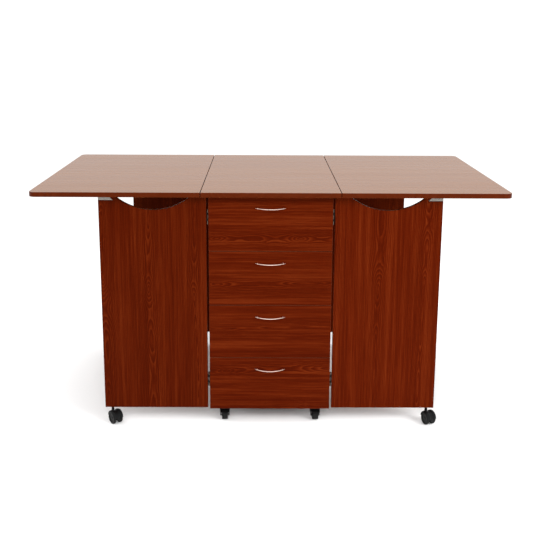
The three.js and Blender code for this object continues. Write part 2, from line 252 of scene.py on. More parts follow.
LAMINATE_TONES = ((0.038, 0.0021, 0.0002), (0.056, 0.0040, 0.0004), (0.090, 0.0110, 0.0018))
# The top's tones are paler and lighter than the laminate elsewhere: painted sheen for the white reflection
# the top shows at a low view.
TOP_TONES_PAINTED_SHEEN = ((0.145, 0.0480, 0.0100), (0.165, 0.0590, 0.0130), (0.185, 0.0700, 0.0170))
BAND_TONES = ((0.042, 0.0050, 0.0012), (0.055, 0.0075, 0.0018), (0.072, 0.0115, 0.0032))
# Edge band of the drawer fronts: partly its own paler colour, partly painted highlight for the light its
# rounded arris catches along the gaps.
PALE_BAND_AND_PAINTED_HIGHLIGHT_TONES = ((0.105, 0.030, 0.014), (0.130, 0.040, 0.020), (0.155, 0.050, 0.026))
TRAY_TONES = ((0.50, 0.34, 0.19), (0.60, 0.43, 0.26), (0.68, 0.52, 0.34))
BRUSHED = (60.0, 2500.0, 2500.0)


def tones_with_painted_light(tones, share):
    """The same laminate tones scaled by share: painted shade below one, painted light above one."""
    return tuple(tuple(part * share for part in tone) for tone in tones)


top_wood_painted_sheen = wood("cherry_top_painted_sheen", TOP_TONES_PAINTED_SHEEN, "x", "y", "z", 0.28, 0.2, WHITE)
front_wood = wood("cherry_drawer_front", LAMINATE_TONES, "x", "z", "y", figure=1.1, heart_at=0.054)
# Painted light: the left leg's laminate is painted darker and the right leg's lighter, for the lamps
# lighting the right side more.
leg_woods_painted_light = {
    -1: wood("cherry_left_leg_painted_shade", tones_with_painted_light(LAMINATE_TONES, 0.91), "z", "x", "y", figure=0.85, heart_at=0.062),
    1: wood("cherry_right_leg_painted_light", tones_with_painted_light(LAMINATE_TONES, 1.06), "z", "x", "y", figure=0.85, heart_at=0.062),
}
side_wood = wood("cherry_side", LAMINATE_TONES, "z", "y", "x")
shelf_wood = wood("cherry_shelf", LAMINATE_TONES, "x", "y", "z")
band_level = wood("edge_band_level", BAND_TONES, "x", "y", "z", 0.36, 0.15, figure=0.3)
band_upright = wood("edge_band_upright", BAND_TONES, "z", "x", "y", 0.36, 0.15, figure=0.3)
band_front = wood("edge_band_front_with_painted_highlight", PALE_BAND_AND_PAINTED_HIGHLIGHT_TONES, "x", "z", "y", 0.34, 0.25, figure=0.3)
tray_wood = wood("pale_tray_board", TRAY_TONES, "y", "z", "x", 0.55, 0.3, WHITE, 0.5)
tray_floor = wood("pale_tray_floor", TRAY_TONES, "y", "x", "z", 0.55, 0.3, WHITE, 0.5)
nickel = plain("satin_nickel", (0.93, 0.70, 0.62), 0.28, metal=1.0, grain=BRUSHED, bump=0.00003)
hinge_steel = plain("plated_steel", (0.23, 0.18, 0.15), 0.34, metal=1.0, bump=0.00004)
# Near-black steel: the axle bolts' own finish, and painted shade on the moving halves of the hinges.
dark_steel_and_painted_shade = plain("blackened_steel_and_painted_shade", (0.05, 0.048, 0.046), 0.4, metal=1.0, bump=0.00004)
rail_steel = plain("coated_rail", (0.78, 0.76, 0.72), 0.4, specular=0.4)
catch_grey = plain("light_grey_plastic", (0.21, 0.195, 0.175), 0.42, specular=0.4)
black_plastic = plain("black_plastic", (0.0035, 0.0035, 0.0037), 0.36, specular=0.16)
wheel_rubber = plain("dark_wheel", (0.0050, 0.0048, 0.0048), 0.45, specular=0.14)


# ---------------------------------------------------------------- mesh building
def prism(bm, outline, normal, low, high):
    """A closed outline pushed along an axis from low to high."""
    spot = {
        "x": lambda u, v, w: (w, u, v),
        "y": lambda u, v, w: (u, w, v),
        "z": lambda u, v, w: (u, v, w),
    }[normal]
    ends = [[bm.verts.new(spot(u, v, w)) for u, v in outline] for w in (low, high)]
    count = len(outline)
    faces = [bm.faces.new(ends[0]), bm.faces.new(ends[1])]
    for i in range(count):
        j = (i + 1) % count
        faces.append(bm.faces.new((ends[0][i], ends[0][j], ends[1][j], ends[1][i])))
    bmesh.ops.recalc_face_normals(bm, faces=faces)


def rectangle(low_u, low_v, high_u, high_v):
    return [(low_u, low_v), (high_u, low_v), (high_u, high_v), (low_u, high_v)]


def in_mm(points):
    """Points given in millimetres, turned to metres."""
    return [(u * MM, v * MM) for u, v in points]


def flipped(sign, points):
    """An outline of the right side, or with sign -1 its mirror image for the left."""
    return [(sign * u, v) for u, v in points]


def cylinder(radius, half, cut, rise):
    """Lathe profile of a cylinder from -half to half. Its rims lose cut of the radius over rise."""
    upper = [(radius, half - rise), (radius - cut, half), (0, half)]
    return [(u, -v) for u, v in reversed(upper)] + upper


def arc(u, v, radius, start, end, steps):
    """Points round a centre (u, v), from start to end in degrees."""
    angles = [math.radians(start + (end - start) * i / steps) for i in range(steps + 1)]
    return [(u + radius * math.cos(a), v + radius * math.sin(a)) for a in angles]


def round_edges(bm, offset, segments=2, above=30.0):
    """Bevels every edge of a closed mesh that turns by more than above, in degrees."""
    limit = math.radians(above)
    edges = [e for e in bm.edges if len(e.link_faces) == 2 and e.calc_face_angle() > limit]
    bmesh.ops.bevel(bm, geom=edges, offset=offset, segments=segments, profile=0.5, affect="EDGES",
                    clamp_overlap=True)


def lathe(bm, profile, centre, axis, segments=32, start=0.0, end=360.0):
    """Turns a profile of (radius, along) about an axis through centre.

    A full turn leaves the profile open. A part turn closes it and caps both ends.
    """
    full = end - start >= 360.0
    turns = segments if full else segments + 1
    along = Vector({"x": (1, 0, 0), "y": (0, 1, 0), "z": (0, 0, 1)}[axis])
    first = Vector({"x": (0, 1, 0), "y": (1, 0, 0), "z": (1, 0, 0)}[axis])
    second = Vector({"x": (0, 0, 1), "y": (0, 0, 1), "z": (0, 1, 0)}[axis])
    rings = []
    for radius, height in profile:
        if radius < 1e-9:
            rings.append([bm.verts.new(centre + along * height)] * turns)
            continue
        ring = []
        for i in range(turns):
            a = math.radians(start + (end - start) * i / segments)
            spoke = first * math.cos(a) + second * math.sin(a)
            ring.append(bm.verts.new(centre + along * height + spoke * radius))
        rings.append(ring)
    made = []
    pairs = list(zip(rings, rings[1:]))
    if not full:
        pairs.append((rings[-1], rings[0]))
        for i in (0, -1):
            made.append(bm.faces.new([ring[i] for ring in rings]))
    for lower, upper in pairs:
        for i in range(segments):
            j = (i + 1) % turns
            corners = []
            for vert in (lower[i], lower[j], upper[j], upper[i]):
                if vert not in corners:
                    corners.append(vert)
            if len(corners) > 2:
                made.append(bm.faces.new(corners))
    bmesh.ops.recalc_face_normals(bm, faces=made)


def sweep(bm, spine, section):
    """Pushes a section along a level spine. section(t) gives its (out, up) points."""
    rings = []
    last = len(spine) - 1
    for i, point in enumerate(spine):
        ahead = spine[min(i + 1, last)] - spine[max(i - 1, 0)]
        out = ahead.cross(UP).normalized()
        rings.append([bm.verts.new(point + out * a + UP * b) for a, b in section(i / last)])
    made = [bm.faces.new(rings[0]), bm.faces.new(rings[-1])]
    count = len(rings[0])
    for lower, upper in zip(rings, rings[1:]):
        for i in range(count):
            j = (i + 1) % count
            made.append(bm.faces.new((lower[i], lower[j], upper[j], upper[i])))
    bmesh.ops.recalc_face_normals(bm, faces=made)


def add_piece(name, bm, materials, body, stands_for=(), sharp=35.0, even=False):
    """Makes the object, sets its shading, and lets it ride on its body."""
    for face in bm.faces:
        face.smooth = True
    mesh = bpy.data.meshes.new(name)
    bm.to_mesh(mesh)
    bm.free()
    for material in materials if isinstance(materials, (list, tuple)) else [materials]:
        mesh.materials.append(material)
    if not even:
        mesh.set_sharp_from_angle(angle=math.radians(sharp))
    piece = bpy.data.objects.new(name, mesh)
    bpy.context.scene.collection.objects.link(piece)
    if even:
        modifier = piece.modifiers.new("even_faces", "WEIGHTED_NORMAL")
        modifier.keep_sharp = False
    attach(piece, body)
    if stands_for:
        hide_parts(*stands_for)


def add_board(name, outline, normal, low, high, materials, body, stands_for, arris=BOARD_ARRIS):
    """A board with softened edges: the first material on its faces, the second on its edge band."""
    bm = bmesh.new()
    prism(bm, outline, normal, low, high)
    round_edges(bm, arris)
    index = "xyz".index(normal)
    for face in bm.faces:
        face.material_index = 0 if abs(face.normal[index]) > 0.8 else 1
    add_piece(name, bm, materials, body, stands_for, even=True)


def add_square_board(source, normal, materials, body, arris=BOARD_ARRIS):
    """A square-cut board in the place of a CAD node."""
    low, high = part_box(source)
    u, v = [i for i in range(3) if i != "xyz".index(normal)]
    w = "xyz".index(normal)
    outline = rectangle(low[u], low[v], high[u], high[v])
    add_board(f"{source}_board", outline, normal, low[w], high[w], materials, body, (source,), arris)


# ---------------------------------------------------------------- screws
SCREW_STEPS = 24
CROSS_REACH = 0.62
CROSS_HALF_WIDTH = 0.14


def merge(bm, part, place=None):
    """Adds a finished part to a mesh, moved by place. A mirrored part keeps its faces pointing out."""
    if place is not None:
        bmesh.ops.transform(part, matrix=place, verts=part.verts)
        if place.determinant() < 0:
            bmesh.ops.reverse_faces(part, faces=part.faces)
    mesh = bpy.data.meshes.new("part")
    part.to_mesh(mesh)
    part.free()
    bm.from_mesh(mesh)
    bpy.data.meshes.remove(mesh)


def screw_head(bm, place, radius, depth):
    """A countersunk head with a cross recess. place maps the head's own axes, +Z out of the surface."""
    part = bmesh.new()
    arm, half = radius * CROSS_REACH, radius * CROSS_HALF_WIDTH
    cross = []
    for quarter in range(4):
        a = quarter * math.pi / 2
        ca, sa = math.cos(a), math.sin(a)
        for x, y in ((arm, -half), (arm, half), (half, half)):
            cross.append((x * ca - y * sa, x * sa + y * ca))
    angles = [i * 2 * math.pi / SCREW_STEPS for i in range(SCREW_STEPS)]
    rim = [part.verts.new((radius * math.cos(a), radius * math.sin(a), 0.0)) for a in angles]
    mouth = [part.verts.new((x, y, 0.0)) for x, y in cross]
    floor = [part.verts.new((x * 0.7, y * 0.7, -depth * 0.8)) for x, y in cross]
    base = [part.verts.new((v.co.x * 0.55, v.co.y * 0.55, -depth)) for v in rim]
    edges = []
    for ring in (rim, mouth):
        edges += [part.edges.new(pair) for pair in zip(ring, ring[1:] + ring[:1])]
    bmesh.ops.triangle_fill(part, use_beauty=True, edges=edges)
    for upper, lower in ((mouth, floor), (rim, base)):
        for i in range(len(upper)):
            j = (i + 1) % len(upper)
            part.faces.new((upper[i], upper[j], lower[j], lower[i]))
    part.faces.new(floor)
    part.faces.new(base)
    bmesh.ops.recalc_face_normals(part, faces=part.faces)
    merge(bm, part, place)


def axes(origin, x, y, z):
    """The placement that puts a part's own axes along x, y and z."""
    return Matrix(((x.x, y.x, z.x, origin.x), (x.y, y.y, z.y, origin.y),
                   (x.z, y.z, z.z, origin.z), (0, 0, 0, 1)))


def facing(point, out, up=UP):
    """A placement at point whose +Z looks along out."""
    side = up.cross(out)
    if side.length < 1e-6:
        side = Vector((1, 0, 0))
    side.normalize()
    return axes(point, side, out.cross(side), out)


# ---------------------------------------------------------------- tops
def add_tops():
    low, high = TOP_LOW, TOP_HIGH
    outline = rectangle(low.x, low.y, high.x, high.y)
    add_board("centre_top_board", outline, "z", low.z, high.z, [top_wood_painted_sheen, band_level], "cabinet",
              ("centre_top",), TOP_ARRIS)
    for side, sign in (("left", -1), ("right", 1)):
        inner, outer = RIGHT_LEAF_LOW.x, RIGHT_LEAF_HIGH.x
        front, rear = RIGHT_LEAF_LOW.y, RIGHT_LEAF_HIGH.y
        bend = CORNER_RADIUS
        points = [(inner, front)]
        points += arc(outer - bend, front + bend, bend, -90, 0, 14)
        points += arc(outer - bend, rear - bend, bend, 0, 90, 14)
        points += [(inner, rear)]
        body = f"{side}_leaf"
        add_board(f"{body}_board", flipped(sign, points), "z", low.z, high.z, [top_wood_painted_sheen, band_level], body,
                  (body,), TOP_ARRIS)


# ---------------------------------------------------------------- cabinet
def add_cabinet():
    for side in ("left", "right"):
        add_square_board(f"cabinet_{side}_side", "x", [side_wood, band_upright], "cabinet")
    # The divider takes the right leg's lighter copy, with its painted light.
    add_square_board("cabinet_divider", "y", [leg_woods_painted_light[1], band_upright], "cabinet")
    for name in ("cabinet_bottom", "front_top_rail", "rear_top_rail", "rear_shelf"):
        add_square_board(name, "z", [shelf_wood, band_level], "cabinet")
    low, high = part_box("rear_shelf")
    bm = bmesh.new()
    radius, half, inset = 2.5 * MM, 4 * MM, 50 * MM
    for sign in (-1, 1):
        for y in (low.y + inset, high.y - inset):
            centre = Vector((sign * (high.x - half), y, low.z - radius - GAP))
            lathe(bm, cylinder(radius, half, 0.4 * MM, 0.4 * MM), centre, "x", 16)
    add_piece("rear_shelf_pins", bm, nickel, "cabinet")


# ---------------------------------------------------------------- drawers
def add_tray(number):
    """The drawer box: two sides, a front and a back piece, and a thin floor let in above their foot."""
    body = f"drawer_{number}"
    low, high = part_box(f"{body}_box")
    wall = TRAY_WALL
    floor_z = low.z + 9 * MM
    end_z = high.z - 4 * MM
    boards = []
    for side, (x0, x1) in {"left": (low.x, low.x + wall), "right": (high.x - wall, high.x)}.items():
        outline = rectangle(low.y, low.z, high.y, high.z)
        boards.append((side, outline, "x", x0, x1, tray_wood))
    for end, (y0, y1) in {"front": (low.y, low.y + wall), "back": (high.y - wall, high.y)}.items():
        outline = rectangle(low.x + wall + GAP, low.z, high.x - wall - GAP, end_z)
        boards.append((end, outline, "y", y0, y1, tray_wood))
    outline = rectangle(low.x + wall, low.y + wall, high.x - wall, high.y - wall)
    boards.append(("floor", outline, "z", floor_z, floor_z + 5 * MM, tray_floor))
    for part, outline, normal, start, end, material in boards:
        stands_for = (f"{body}_box",) if part == "left" else ()
        add_board(f"{body}_box_{part}", outline, normal, start, end, [material, material], body, stands_for,
                  0.6 * MM)


def add_rails(number):
    """Roller runners: a channel with a front roller on the cabinet side, an angle with a rear roller on
    the tray."""
    body = f"drawer_{number}"
    low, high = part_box(f"{body}_box")
    sheet = 1.0 * MM
    roller_radius = 8 * MM
    centre_z = low.z + 12 * MM
    start = low.y + 2 * MM
    end = start + 400 * MM

    cabinet_face = RIGHT_SIDE_LOW.x - GAP
    flange = cabinet_face - 9 * MM
    web = cabinet_face - sheet
    top, bottom = centre_z + 17 * MM, centre_z - 17 * MM
    channel = [(cabinet_face, bottom), (cabinet_face, top), (flange, top), (flange, top - sheet),
               (web, top - sheet), (web, bottom + sheet), (flange, bottom + sheet), (flange, bottom)]
    front_roller = Vector((cabinet_face - 5.2 * MM, start + 10 * MM, centre_z))

    tray_face = high.x + GAP
    ledge = tray_face + 8.5 * MM
    ledge_z = centre_z + roller_radius + 1 * MM
    foot_z = low.z + 1 * MM
    angle = [(tray_face, foot_z), (tray_face + sheet, foot_z), (tray_face + sheet, ledge_z),
             (ledge, ledge_z), (ledge, ledge_z + sheet), (tray_face, ledge_z + sheet)]
    rear_roller = Vector((tray_face + 5.0 * MM, end - 10 * MM, centre_z - roller_radius))

    for side, sign in (("left", -1), ("right", 1)):
        mirror = Vector((sign, 1, 1))
        bm = bmesh.new()
        prism(bm, flipped(sign, channel), "y", start, end)
        round_edges(bm, 0.25 * MM, 1)
        lathe(bm, cylinder(roller_radius, 3.8 * MM, 0.8 * MM, 0.8 * MM), front_roller * mirror, "x", 24)
        for y in (start + 40 * MM, start + 200 * MM, end - 30 * MM):
            spot = Vector((sign * (web - 0.1 * MM), y, centre_z))
            screw_head(bm, facing(spot, Vector((-sign, 0, 0))), 3 * MM, 0.8 * MM)
        add_piece(f"{body}_{side}_cabinet_rail", bm, rail_steel, "cabinet")

        bm = bmesh.new()
        prism(bm, flipped(sign, angle), "y", start, end)
        round_edges(bm, 0.25 * MM, 1)
        profile = cylinder(roller_radius - 0.6 * MM, 3.2 * MM, 0.8 * MM, 0.6 * MM)
        lathe(bm, profile, rear_roller * mirror, "x", 24)
        add_piece(f"{body}_{side}_tray_rail", bm, rail_steel, body)


def add_handle(number):
    """A bow handle: one even arc that thickens towards its middle, on two feet, with its screws inside
    the drawer."""
    body = f"drawer_{number}"
    low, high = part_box(f"{body}_handle")
    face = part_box(f"{body}_front")[0].y
    middle_z = (low.z + high.z) / 2
    half = (high.x - low.x) / 2
    rise = face - low.y - 3 * MM
    tip_rise = 2.6 * MM
    foot_x = 48 * MM

    def spine_at(t):
        u = 2 * t - 1
        out = tip_rise + (rise - tip_rise) * (1 - u * u)
        return Vector((u * (half - 1 * MM), face - out, middle_z))

    def section(t):
        u = abs(2 * t - 1)
        size = 1.0 - 0.5 * u ** 4
        deep, tall = 1.9 * MM * size, 1.7 * MM * size
        return [(deep * math.cos(a), tall * math.sin(a)) for a in (i * math.pi / 8 for i in range(16))]

    bm = bmesh.new()
    sweep(bm, [spine_at(i / 40) for i in range(41)], section)
    depth = rise * (1 - (foot_x / half) ** 2) + 1.2 * MM
    base = depth - GAP
    foot = [(0, 0), (1.9 * MM, 0), (2.0 * MM, depth - 2 * MM), (2.4 * MM, base), (0, base)]
    for sign in (-1, 1):
        lathe(bm, foot, Vector((sign * foot_x, face - depth, middle_z)), "y", 20)
    add_piece(f"{body}_bow_handle", bm, nickel, body, (f"{body}_handle",), sharp=50)

    bm = bmesh.new()
    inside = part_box(f"{body}_box")[0].y + TRAY_WALL
    for sign in (-1, 1):
        spot = Vector((sign * foot_x, inside + 1.3 * MM, middle_z))
        screw_head(bm, facing(spot, Vector((0, 1, 0))), 3.6 * MM, 1.2 * MM)
    add_piece(f"{body}_handle_screws", bm, nickel, body)


def add_drawers():
    for number in DRAWERS:
        body = f"drawer_{number}"
        # The fronts' edge band is lighter than the other bands: part own colour, part painted highlight.
        add_square_board(f"{body}_front", "y", [front_wood, band_front], body, FRONT_ARRIS)
        add_tray(number)
        add_rails(number)
        add_handle(number)


# ---------------------------------------------------------------- legs
def leg_outline(sign):
    """A leg panel: notched for the catch block, with a shallow arch cut into its top edge."""
    low, high = LEG_LOW, LEG_HIGH
    centre_z = ARCH_LOWEST + ARCH_RADIUS
    reach = math.degrees(math.acos((centre_z - high.z) / ARCH_RADIUS))
    notch_x = BLOCK_LOW.x + NOTCH_RAMP - 3 * GAP
    notch_z = BLOCK_LOW.z - GAP
    points = [(low.x, low.z), (high.x, low.z), (high.x, notch_z), (notch_x - NOTCH_RAMP, notch_z),
              (notch_x, high.z)]
    points += arc(ARCH_CENTRE_X, centre_z, ARCH_RADIUS, reach - 90, -reach - 90, 48)
    points += [(low.x, high.z)]
    return flipped(sign, points)


def add_catch_block(corner, body):
    """A plastic block with a ramp at its inner end, held by two screws."""
    low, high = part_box(f"{corner}_catch_block")
    sign = 1 if low.x > 0 else -1
    inner, outer = BLOCK_LOW.x, BLOCK_HIGH.x
    ramp_end = inner + NOTCH_RAMP * (BLOCK_HIGH.z - BLOCK_LOW.z) / (LEG_HIGH.z - BLOCK_LOW.z)
    outline = [(inner, low.z), (outer, low.z), (outer, high.z), (ramp_end + 2 * MM, high.z),
               (ramp_end, high.z - 1 * MM)]
    bm = bmesh.new()
    prism(bm, flipped(sign, outline), "y", low.y, high.y)
    round_edges(bm, 1.2 * MM, 3, above=25)
    add_piece(f"{corner}_catch", bm, catch_grey, body, (f"{corner}_catch_block",),
              even=True)
    bm = bmesh.new()
    out = Vector((0, 1 if low.y < 0 else -1, 0))
    back = high.y if low.y < 0 else low.y
    for x in (outer - 12 * MM, outer - 38 * MM):
        spot = Vector((sign * x, back, (low.z + high.z) / 2)) + out * 0.2 * MM
        screw_head(bm, facing(spot, out), 3.4 * MM, 1 * MM)
    add_piece(f"{corner}_catch_screws", bm, hinge_steel, body)


def hinge_half(bm, place, length, radius, reach, offset, slots, pin):
    """Half a butt hinge about its pin, which is the local Z axis. The plate runs along +X at Y = offset."""
    part = bmesh.new()
    step = length / 5
    for slot in slots:
        half = step / 2 - (GAP / 2 if pin else 1.2 * MM)
        size = radius if pin else radius - 0.9 * MM
        lathe(part, cylinder(size, half, 0.3 * MM, 0.3 * MM), Vector((0, 0, slot * step)), "z", 24)
    if pin:
        tip = length / 2 + 0.6 * MM
        lathe(part, cylinder(radius * 0.7, tip, radius * 0.15, 0.6 * MM), ORIGIN, "z", 20)
    bend = 3 * MM
    inner = radius + 0.6 * MM
    edge = arc(reach - bend, -length / 2 + bend, bend, -90, 0, 6)
    edge += arc(reach - bend, length / 2 - bend, bend, 0, 90, 6)
    tabs = []
    for slot in sorted(slots, reverse=True):
        half = step / 2 - GAP / 2
        top, bottom = slot * step + half, slot * step - half
        if abs(top - length / 2) > step / 4:
            tabs.append((inner, top))
        tabs += [(0.0, top), (0.0, bottom)]
        if abs(bottom + length / 2) > step / 4:
            tabs.append((inner, bottom))
    if max(slots) * step + step / 2 < length / 2 - step / 4:
        tabs = [(inner, length / 2)] + tabs + [(inner, -length / 2)]
    prism(part, edge + tabs, "y", offset - HINGE_PLATE / 2, offset + HINGE_PLATE / 2)
    merge(bm, part, place)


def add_hinge(name, place_fixed, place_moving, length, radius, reach, offsets, bodies, stands_for,
              screw_rows):
    """Both halves of a hinge and their screws. Screw heads sit on each plate's free face."""
    halves = (("fixed", place_fixed, (-2, 0, 2), True), ("moving", place_moving, (-1, 1), False))
    for (half, place, slots, pin), offset, body in zip(halves, offsets, bodies):
        bm = bmesh.new()
        hinge_half(bm, place, length, radius, reach, offset, slots, pin)
        out = -1 if offset > 0 else 1
        face = offset + out * (HINGE_PLATE / 2 + 0.15 * MM)
        turn = place.to_3x3()
        for along, across in screw_rows:
            spot = place @ Vector((across, face, along))
            screw_head(bm, facing(spot, turn @ Vector((0, out, 0)), turn @ UP), 2.9 * MM, 0.9 * MM)
        stood_for = (stands_for,) if pin else ()
        # The moving half is near black: painted shade between the fixed half's knuckles.
        steel = hinge_steel if pin else dark_steel_and_painted_shade
        add_piece(f"{name}_{half}", bm, steel, body, stood_for, sharp=40)


def add_leg_hinges(corner, sx, sy):
    """The two hinges of a leg: the fixed plate on the cabinet side, the moving one on the leg's back."""
    for level in ("upper", "lower"):
        low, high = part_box(f"{corner}_{level}_hinge")
        centre_z = (low.z + high.z) / 2
        pin = pin_of(f"{corner}_leg_swing")
        origin = Vector((pin.x, pin.y, centre_z))
        back = Vector((0, sy, 0))
        away = Vector((sx, 0, 0))
        fixed_offset = abs(CABINET_HALF + GAP + HINGE_PLATE / 2 - abs(pin.x))
        fixed = axes(origin, back, -away, UP)
        moving = axes(origin, away, back, UP)
        rows = in_mm([(-20, 16), (0, 16), (20, 16)])
        add_hinge(f"{corner}_{level}_butt_hinge", fixed, moving, LEG_HINGE_LENGTH, LEG_HINGE_RADIUS,
                  24 * MM, (fixed_offset, GAP + HINGE_PLATE / 2), ("cabinet", f"{corner}_leg"),
                  f"{corner}_{level}_hinge", rows)


def add_leaf_hinges():
    """Three hinges under each seam of the top, with both plates flat against its underside."""
    for side, sign in (("left", -1), ("right", 1)):
        pin = pin_of(f"{side}_leaf_hinge")
        for where in ("front", "middle", "rear"):
            low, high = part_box(f"{side}_leaf_hinge_{where}")
            origin = Vector((pin.x, (low.y + high.y) / 2, pin.z))
            along = Vector((0, 1, 0))
            inward = Vector((-sign, 0, 0))
            offset = UNDER_Z - GAP - HINGE_PLATE / 2 - pin.z
            fixed = axes(origin, inward, UP, along)
            moving = axes(origin, -inward, UP, along)
            rows = in_mm([(-22, 16), (0, 18), (22, 16)])
            add_hinge(f"{side}_leaf_{where}_butt_hinge", fixed, moving, LEAF_HINGE_LENGTH,
                      LEAF_HINGE_RADIUS, 25 * MM, (offset, offset), ("cabinet", f"{side}_leaf"),
                      f"{side}_leaf_hinge_{where}", rows)


def add_legs():
    for corner, (sx, sy) in CORNERS.items():
        body = f"{corner}_leg"
        low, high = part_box(body)
        add_board(f"{body}_panel", leg_outline(sx), "y", low.y, high.y, [leg_woods_painted_light[sx], band_upright], body,
                  (body,))
        add_catch_block(corner, body)
        add_leg_hinges(corner, sx, sy)


# ---------------------------------------------------------------- casters
def caster_place(swivel, roll):
    """The caster's own axes: +X along its trail, +Y along its axle, the swivel axis through the origin."""
    stand = pin_of(swivel)
    axle = Vector(JOINTS[roll]["axis"]).normalized()
    return axes(Vector((stand.x, stand.y, 0)), axle.cross(UP), axle, UP)


def add_turned(name, bm, place, material, body, stands_for):
    """Puts a mesh built in a caster's own axes where the caster stands."""
    bmesh.ops.transform(bm, matrix=place, verts=bm.verts)
    add_piece(name, bm, material, body, stands_for)


def twin_hood():
    """Hood of a twin-wheel caster: a crowned mudguard over each wheel, the web between, neck and stem."""
    bm = bmesh.new()
    axle = Vector((TWIN_TRAIL, 0, TWIN_RADIUS))
    crown = [(26.4, 6.2), (28.2, 6.6), (29.1, 8.2), (29.3, 11.0), (29.1, 14.2), (28.4, 16.8), (27.4, 18.6),
             (26.4, 19.2)]
    for sign in (-1, 1):
        lathe(bm, in_mm((r, sign * y) for r, y in crown), axle, "y", 40, 8, 172)
    lathe(bm, in_mm(rectangle(5.0, -6.6, 26.8, 6.6)), axle, "y", 40, -18, 198)
    neck = [(0, 36), (5.4, 36), (5.4, 53), (4.8, 53.6), (4.8, 57.4), (5.4, 58), (5.4, 59.6), (4.6, 60.2),
            (4.0, 60.4), (4.0, 61.1), (0, 61.1)]
    lathe(bm, in_mm(neck), ORIGIN, "z", 32)
    return bm


def twin_wheels():
    """Both wheels on their axle: a rounded tread, a dished face with a raised rim, and a domed hub cap."""
    bm = bmesh.new()
    axle = Vector((TWIN_TRAIL, 0, TWIN_RADIUS))
    face = [(0, 18.2), (3.5, 18.0), (5.8, 17.2), (6.4, 16.4), (16.6, 16.4), (17.5, 16.7), (18.6, 18.8),
            (19.4, 19.4), (21.4, 19.4), (23.2, 18.4), (24.4, 16.6), (24.9, 14.6), (25.0, 12.6),
            (24.9, 10.6), (24.3, 9.2), (22.8, 8.5), (3.2, 8.5), (3.2, 0)]
    for sign in (-1, 1):
        lathe(bm, in_mm((r, sign * y) for r, y in face), axle, "y", 48)
    bmesh.ops.remove_doubles(bm, verts=bm.verts, dist=1e-7)
    return bm


def fork_frame():
    """Fork of a single-wheel caster: housing of the ball race, guard over the wheel, arms to the axle."""
    bm = bmesh.new()
    axle = Vector((FORK_TRAIL, 0, FORK_RADIUS))
    crown = [(0, 57.2), (7.6, 57.2), (8.2, 56.6), (8.2, 55.4), (16.8, 55.0), (18.8, 53.6), (19.9, 51.0),
             (20.2, 47.0), (19.9, 43.0), (19.0, 41.4), (0, 41.4)]
    lathe(bm, in_mm(crown), ORIGIN, "z", 40)
    foot_z, crown_z = FORK_RADIUS - 6 * MM, 44 * MM
    arm = [(-10 * MM, crown_z)]
    arm += arc(FORK_TRAIL, FORK_RADIUS, 5.4 * MM, 200, 370, 18)
    arm += [(19 * MM, crown_z)]
    for sign in (-1, 1):
        low, high = sorted((sign * FORK_ARM_INNER, sign * FORK_ARM_OUTER))
        part = bmesh.new()
        prism(part, arm, "y", low, high)
        round_edges(part, 1.2 * MM, 3)
        for vert in part.verts:
            lean = 1.0 - max(0.0, min(1.0, (vert.co.z - foot_z) / (crown_z - foot_z)))
            vert.co.y -= sign * lean * (2.4 * MM + 0.15 * (abs(vert.co.y) - FORK_ARM_INNER))
        merge(bm, part)
    guard = [(20.6, -16.9), (22.2, -16.9), (22.9, -15.9), (22.9, 15.9), (22.2, 16.9), (20.6, 16.9)]
    lathe(bm, in_mm(guard), axle, "y", 32, 40, 140)
    bridge = bmesh.new()
    prism(bridge, rectangle(-12 * MM, -19.6 * MM, 20 * MM, 19.6 * MM), "z", 41.2 * MM, 45 * MM)
    round_edges(bridge, 1.4 * MM, 3)
    merge(bm, bridge)
    return bm


def fork_wheel():
    """Wheel of a single-wheel caster: a tread, dished faces, a hub, and a bore for the axle."""
    bm = bmesh.new()
    face = [(3.0, 12.8), (5.6, 12.8), (6.0, 12.3), (6.0, 9.2), (13.2, 8.6), (14.4, 9.2), (15.2, 10.6),
            (17.2, 11.0), (18.2, 10.6), (18.8, 9.6), (19.0, 8.2)]
    ring = face + [(r, -y) for r, y in reversed(face)] + face[:1]
    lathe(bm, in_mm(ring), Vector((FORK_TRAIL, 0, FORK_RADIUS)), "y", 48)
    bmesh.ops.remove_doubles(bm, verts=bm.verts, dist=1e-7)
    bmesh.ops.recalc_face_normals(bm, faces=bm.faces)
    return bm


def fork_axle():
    """Axle bolt: a domed head outside one arm, a flat collar outside the other."""
    bm = bmesh.new()
    bolt = [(0, -18.3), (2.2, -18.2), (3.2, -17.9), (3.4, -17.2), (2.6, -17.2), (2.6, 17.2), (3.4, 17.2),
            (3.4, 17.9), (2.8, 18.3), (0, 18.3)]
    lathe(bm, in_mm(bolt), Vector((FORK_TRAIL, 0, FORK_RADIUS)), "y", 24)
    return bm


def add_top_plate(name, place):
    """The fixed plate of a cabinet caster, screwed to the cabinet's bottom board."""
    bm = bmesh.new()
    top = CABINET_BASE - 0.1 * MM
    half_x, half_y, bend = 19 * MM, 24 * MM, 4 * MM
    outline = []
    for quarter, (x, y) in enumerate(((1, -1), (1, 1), (-1, 1), (-1, -1))):
        outline += arc(x * (half_x - bend), y * (half_y - bend), bend, quarter * 90 - 90, quarter * 90, 5)
    prism(bm, outline, "z", top - 1.3 * MM, top)
    round_edges(bm, 0.3 * MM, 1)
    for x in (-1, 1):
        for y in (-1, 1):
            spot = Vector((x * 13.5 * MM, y * 18.5 * MM, top - 1.4 * MM))
            screw_head(bm, facing(spot, Vector((0, 0, -1)), Vector((0, 1, 0))), 2.7 * MM, 0.7 * MM)
    stand = Matrix.Translation((place.translation.x, place.translation.y, 0))
    add_turned(name, bm, stand, black_plastic, "cabinet", ())


